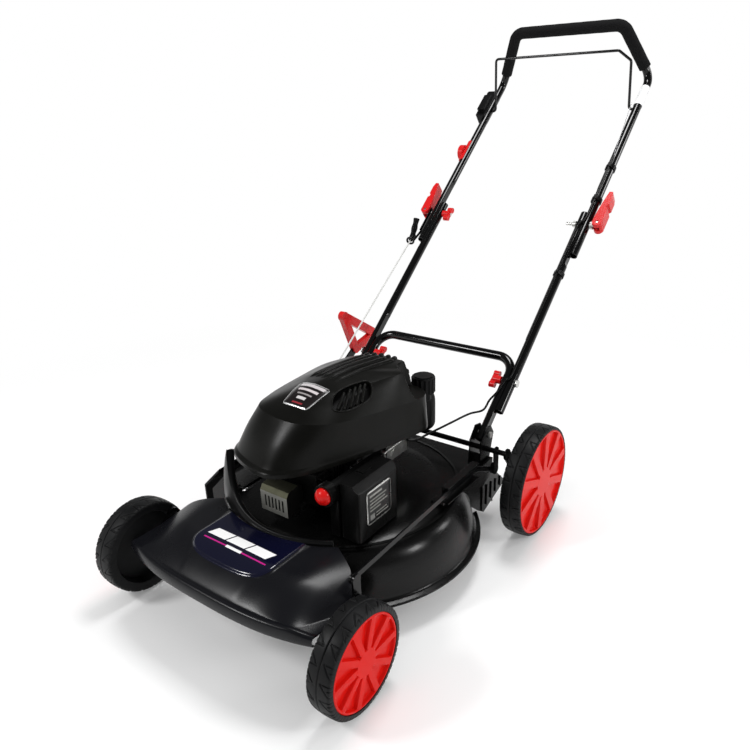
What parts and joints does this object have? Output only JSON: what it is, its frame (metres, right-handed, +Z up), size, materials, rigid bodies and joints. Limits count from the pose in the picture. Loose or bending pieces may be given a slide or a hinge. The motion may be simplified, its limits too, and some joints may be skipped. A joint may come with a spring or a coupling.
{
  "type": "push_lawn_mower",
  "caption": "Black push lawn mower with a petrol engine, red wheel covers, side discharge and a folding tube handle with foam grip and bail.",
  "frame": {"origin": "On the ground, straight below the blade shaft, midway between the wheels", "axes": "X across the mower to its right as seen from the front, +Y to the operator, +Z up"},
  "size_m": [0.658, 1.5644, 1.1054],
  "materials": {
    "deck_paint": "gloss black powder coat",
    "apron_plastic": "glossy black moulding",
    "engine_plastic": "satin black moulded plastic",
    "black_plastic": "matt black plastic",
    "red_plastic": "glossy red plastic",
    "tyre_rubber": "moulded black tread",
    "tube_paint": "gloss black tube paint",
    "zinc": "zinc plated steel",
    "cast_alloy": "cast alloy",
    "black_iron": "black heat paint",
    "black_alloy": "cast alloy in black heat paint",
    "guard_steel": "olive silver plated steel",
    "blade_steel": "ground spring steel",
    "foam": "closed cell foam",
    "filter_foam": "oiled foam",
    "rope": "braided cord",
    "rubber": "soft black rubber"
  },
  "bodies": {
    "deck": {"deck_shell": "deck_paint", "front_apron": "apron_plastic", "handle_brackets": "tube_paint", "lower_handle": "tube_paint", "deck_fasteners": "zinc", "link_channel": "deck_paint", "engine_block": "black_alloy", "cylinder_head": "black_alloy", "spark_plug": "zinc", "muffler": "black_iron", "muffler_guard": "guard_steel", "carburettor": "cast_alloy", "air_box": "black_plastic", "air_filter": "filter_foam", "air_cover": "engine_plastic", "fuel_tank": "black_plastic", "engine_shroud": "engine_plastic", "control_linkage": "zinc", "starter_rope_lower": "rope", "cable_lower": "rubber"},
    "blade_shaft": {"crankshaft": "blade_steel", "flywheel": "cast_alloy", "blade_adapter": "black_iron", "blade": "blade_steel", "blade_bolt": "zinc"},
    "rear_flap": {"rear_flap": "rubber"},
    "chute_flap": {"chute_flap": "black_plastic"},
    "fuel_cap": {"fuel_cap": "black_plastic"},
    "oil_cap": {"oil_cap": "black_plastic"},
    "primer_bulb": {"primer_bulb": "red_plastic"},
    "rear_axle": {"rear_crank": "deck_paint", "height_lever": "deck_paint", "lever_grip": "red_plastic"},
    "front_axle": {"front_crank": "deck_paint"},
    "height_link": {"link_rod": "zinc"},
    "wheel_fl": {"wheel_front_left": "tyre_rubber", "cover_front_left": "red_plastic"},
    "wheel_fr": {"wheel_front_right": "tyre_rubber", "cover_front_right": "red_plastic"},
    "wheel_rl": {"wheel_rear_left": "tyre_rubber", "cover_rear_left": "red_plastic"},
    "wheel_rr": {"wheel_rear_right": "tyre_rubber", "cover_rear_right": "red_plastic"},
    "mid_handle": {"mid_handle": "tube_paint", "clamp_bolts": "zinc", "rope_guide": "tube_paint", "starter_rope_upper": "rope", "cable_middle": "rubber"},
    "upper_handle": {"upper_handle": "tube_paint", "foam_grip": "foam", "switch_box": "black_plastic", "cable_upper": "rubber", "handle_trim": "black_plastic"},
    "bail": {"bail": "tube_paint"},
    "clamp_left": {"clamp_lever_left": "red_plastic"},
    "clamp_right": {"clamp_lever_right": "red_plastic"},
    "knob_ll": {"knob_lower_left": "red_plastic"},
    "knob_lr": {"knob_lower_right": "red_plastic"},
    "knob_ul": {"knob_upper_left": "red_plastic"},
    "starter_grip": {"starter_grip": "black_plastic"}
  },
  "joints": [
    {"name": "blade_spin", "type": "hinge", "parent": "deck", "child": "blade_shaft", "pos_m": [0, 0, 0.2], "axis": [0, 0, 1], "continuous": true},
    {"name": "rear_flap_swing", "type": "hinge", "parent": "deck", "child": "rear_flap", "pos_m": [0, 0.274, 0.122], "axis": [1, 0, 0], "range_deg": [0, 70]},
    {"name": "chute_flap_swing", "type": "hinge", "parent": "deck", "child": "chute_flap", "pos_m": [-0.222, -0.03, 0.203], "axis": [0, 1, 0], "range_deg": [0, 70]},
    {"name": "fuel_cap_turn", "type": "hinge", "parent": "deck", "child": "fuel_cap", "pos_m": [0.101, 0.149, 0.36], "axis": [0, 0, 1], "continuous": true},
    {"name": "oil_cap_turn", "type": "hinge", "parent": "deck", "child": "oil_cap", "pos_m": [-0.112, 0.024, 0.265], "axis": [0, 0, 1], "continuous": true},
    {"name": "primer_press", "type": "slide", "parent": "deck", "child": "primer_bulb", "axis": [0, 1, 0], "range_m": [0, 0.005], "stiffness_N_per_m": 400},
    {"name": "height_adjust", "type": "hinge", "parent": "deck", "child": "rear_axle", "pos_m": [0, 0.229, 0.205], "axis": [1, 0, 0], "range_deg": [-18, 18]},
    {"name": "front_axle_follow", "type": "hinge", "parent": "deck", "child": "front_axle", "pos_m": [0, -0.275, 0.148], "axis": [1, 0, 0], "range_deg": [-18.5, 18.5]},
    {"name": "link_pin", "type": "hinge", "parent": "front_axle", "child": "height_link", "pos_m": [0.231, -0.275, 0.193], "axis": [1, 0, 0], "range_deg": [-18.5, 18.5]},
    {"name": "wheel_fl_roll", "type": "hinge", "parent": "front_axle", "child": "wheel_fl", "pos_m": [0, -0.335, 0.097], "axis": [1, 0, 0], "continuous": true},
    {"name": "wheel_fr_roll", "type": "hinge", "parent": "front_axle", "child": "wheel_fr", "pos_m": [0, -0.335, 0.097], "axis": [1, 0, 0], "continuous": true},
    {"name": "wheel_rl_roll", "type": "hinge", "parent": "rear_axle", "child": "wheel_rl", "pos_m": [0, 0.289, 0.127], "axis": [1, 0, 0], "continuous": true},
    {"name": "wheel_rr_roll", "type": "hinge", "parent": "rear_axle", "child": "wheel_rr", "pos_m": [0, 0.289, 0.127], "axis": [1, 0, 0], "continuous": true},
    {"name": "lower_fold", "type": "hinge", "parent": "deck", "child": "mid_handle", "pos_m": [0, 0.35887, 0.31544], "axis": [1, 0, 0], "range_deg": [0, 120]},
    {"name": "upper_fold", "type": "hinge", "parent": "mid_handle", "child": "upper_handle", "pos_m": [0, 0.72238, 0.61809], "axis": [1, 0, 0], "range_deg": [-150, 0]},
    {"name": "bail_squeeze", "type": "hinge", "parent": "upper_handle", "child": "bail", "pos_m": [0, 1.03593, 0.87914], "axis": [-1, 0, 0], "range_deg": [0, 18], "stiffness_Nm_per_rad": 1},
    {"name": "clamp_left_open", "type": "hinge", "parent": "mid_handle", "child": "clamp_left", "pos_m": [-0.251, 0.72238, 0.61809], "axis": [0, -0.6398, 0.7685], "range_deg": [0, 90]},
    {"name": "clamp_right_open", "type": "hinge", "parent": "mid_handle", "child": "clamp_right", "pos_m": [0.251, 0.72238, 0.61809], "axis": [0, 0.6398, -0.7685], "range_deg": [0, 90]},
    {"name": "knob_ll_turn", "type": "hinge", "parent": "deck", "child": "knob_ll", "pos_m": [-0.17, 0.35887, 0.31544], "axis": [-1, 0, 0], "continuous": true},
    {"name": "knob_lr_turn", "type": "hinge", "parent": "deck", "child": "knob_lr", "pos_m": [0.17, 0.35887, 0.31544], "axis": [1, 0, 0], "continuous": true},
    {"name": "knob_ul_turn", "type": "hinge", "parent": "mid_handle", "child": "knob_ul", "pos_m": [-0.184, 0.72238, 0.61809], "axis": [-1, 0, 0], "continuous": true},
    {"name": "starter_pull", "type": "slide", "parent": "mid_handle", "child": "starter_grip", "axis": [-0.2126, 0.9086, 0.3596], "range_m": [0, 0.25]}
  ],
  "couplings": [
    {"joint": "front_axle_follow", "follows": "height_adjust", "ratio": -1},
    {"joint": "link_pin", "follows": "height_adjust", "ratio": 1}
  ]
}
